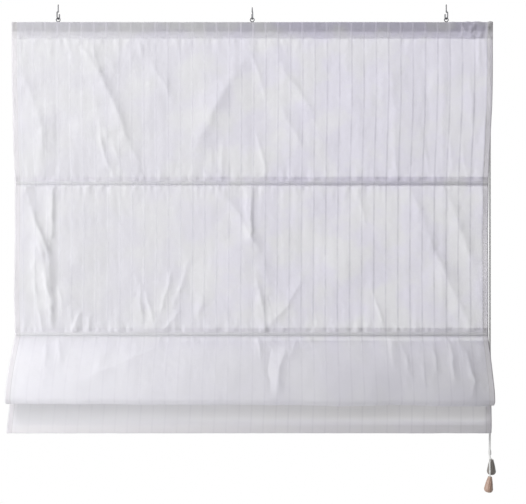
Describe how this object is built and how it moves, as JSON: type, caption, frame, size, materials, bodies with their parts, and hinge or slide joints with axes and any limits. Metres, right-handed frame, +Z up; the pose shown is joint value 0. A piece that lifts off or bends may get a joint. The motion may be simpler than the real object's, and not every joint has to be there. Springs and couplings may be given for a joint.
{
  "type": "roman blind",
  "caption": "Hung roman blind of thin striped cloth with rods in pockets, a forward fold, screw hooks, and lift cords ending in wooden pulls.",
  "frame": {"origin": "axis of the middle hook where its screw enters the ceiling", "axes": "+Z up along the hook screws, +X to the right seen from the room, and the room is on the -Y side"},
  "size_m": [1.4287, 0.1053, 1.4329],
  "materials": {
    "cloth": "thin white cotton with grey pinstripes",
    "batten": "planed pine, dark stained",
    "bar": "planed pine, whitened",
    "rods": "plain glass-fibre rod",
    "steel": "dull grey plated wire",
    "rings": "moulded, satin",
    "cord": "braided off-white cord",
    "pulls": "turned, satin"
  },
  "bodies": {
    "head": {"top_batten": "batten", "cloth_upper": "cloth", "cloth_fold": "cloth", "hook_left": "steel", "hook_middle": "steel", "hook_right": "steel", "hanging_eye_left": "steel", "hanging_eye_middle": "steel", "hanging_eye_right": "steel", "cord_eye_left": "steel", "cord_eye_middle": "steel", "cord_eye_right": "steel", "cord_outlet": "steel", "rod_1": "rods", "rod_2": "rods", "ring_1_left": "rings", "ring_1_middle": "rings", "ring_1_right": "rings", "ring_2_left": "rings", "ring_2_middle": "rings", "ring_2_right": "rings", "lift_cord_left": "cord", "lift_cord_middle": "cord", "lift_cord_right": "cord", "pull_cord_left": "cord", "pull_cord_middle": "cord", "pull_cord_right": "cord"},
    "lower": {"cloth_lower": "cloth", "bottom_bar": "bar", "rod_3": "rods", "ring_3_left": "rings", "ring_3_middle": "rings", "ring_3_right": "rings", "tie_knot_left": "cord", "tie_knot_middle": "cord", "tie_knot_right": "cord"},
    "pulls": {"cord_knot": "cord", "strand_left": "cord", "strand_middle": "cord", "strand_right": "cord", "lower_pull": "pulls", "upper_pull": "pulls", "lower_stop_knot": "cord", "upper_stop_knot": "cord"}
  },
  "joints": [
    {"name": "lift", "type": "slide", "parent": "head", "child": "lower", "axis": [0, 0, 1], "range_m": [-0.36, 0], "deforming": ["cloth_fold", "lift_cord_left", "lift_cord_middle", "lift_cord_right"]},
    {"name": "pull", "type": "slide", "parent": "head", "child": "pulls", "axis": [0, 0, 1], "range_m": [0, 0.36], "deforming": ["pull_cord_left", "pull_cord_middle", "pull_cord_right"]}
  ],
  "couplings": [
    {"joint": "pull", "follows": "lift", "ratio": -1}
  ]
}
